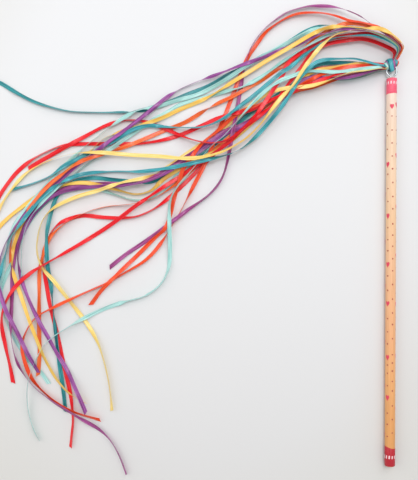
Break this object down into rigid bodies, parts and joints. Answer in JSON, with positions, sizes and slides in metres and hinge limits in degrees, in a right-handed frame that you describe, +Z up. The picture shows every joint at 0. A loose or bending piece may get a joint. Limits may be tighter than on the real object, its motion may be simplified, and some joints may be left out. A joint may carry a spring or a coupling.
{
  "type": "ribbon wand",
  "caption": "Round wooden dowel wand with a paper band at each end and a small screw eye, narrow satin ribbons tied at their middles to the eye's ring.",
  "frame": {"origin": "middle of the stick with its screw eye, at the level of the surface it lies on", "axes": "+Z up, +Y along the stick towards the screw eye, +X to the right seen from above with the eye away; the ribbons lie towards -X"},
  "size_m": [0.3562, 0.3732, 0.0122],
  "materials": {
    "birch_wood": "bare sanded wood",
    "red_paper": "satin printed paper",
    "plated_steel": "bright zinc plating",
    "satin_red": "double-faced satin",
    "satin_orange": "double-faced satin",
    "satin_yellow": "double-faced satin",
    "satin_mint": "double-faced satin",
    "satin_teal": "double-faced satin",
    "satin_purple": "double-faced satin"
  },
  "bodies": {
    "stick": {"dowel_stick": "birch_wood", "eye_end_band": "red_paper", "butt_end_band": "red_paper", "screw_eye": "plated_steel"},
    "ribbons": {"ribbon_knot": "satin_teal", "ribbon_red_1_upper_tail": "satin_red", "ribbon_red_1_lower_tail": "satin_red", "ribbon_red_2_upper_tail": "satin_red", "ribbon_red_2_lower_tail": "satin_red", "ribbon_orange_1_upper_tail": "satin_orange", "ribbon_orange_1_lower_tail": "satin_orange", "ribbon_orange_2_upper_tail": "satin_orange", "ribbon_orange_2_lower_tail": "satin_orange", "ribbon_yellow_1_upper_tail": "satin_yellow", "ribbon_yellow_1_lower_tail": "satin_yellow", "ribbon_yellow_2_upper_tail": "satin_yellow", "ribbon_yellow_2_lower_tail": "satin_yellow", "ribbon_mint_1_upper_tail": "satin_mint", "ribbon_mint_1_lower_tail": "satin_mint", "ribbon_mint_2_upper_tail": "satin_mint", "ribbon_mint_2_lower_tail": "satin_mint", "ribbon_teal_1_upper_tail": "satin_teal", "ribbon_teal_1_lower_tail": "satin_teal", "ribbon_teal_2_upper_tail": "satin_teal", "ribbon_teal_2_lower_tail": "satin_teal", "ribbon_purple_1_upper_tail": "satin_purple", "ribbon_purple_1_lower_tail": "satin_purple", "ribbon_purple_2_upper_tail": "satin_purple", "ribbon_purple_2_lower_tail": "satin_purple"}
  },
  "joints": [
    {"name": "knot_round_ring", "type": "hinge", "parent": "stick", "child": "ribbons", "pos_m": [0, 0.1529, 0.0042], "axis": [0, 0, 1], "range_deg": [-80, 25]}
  ]
}
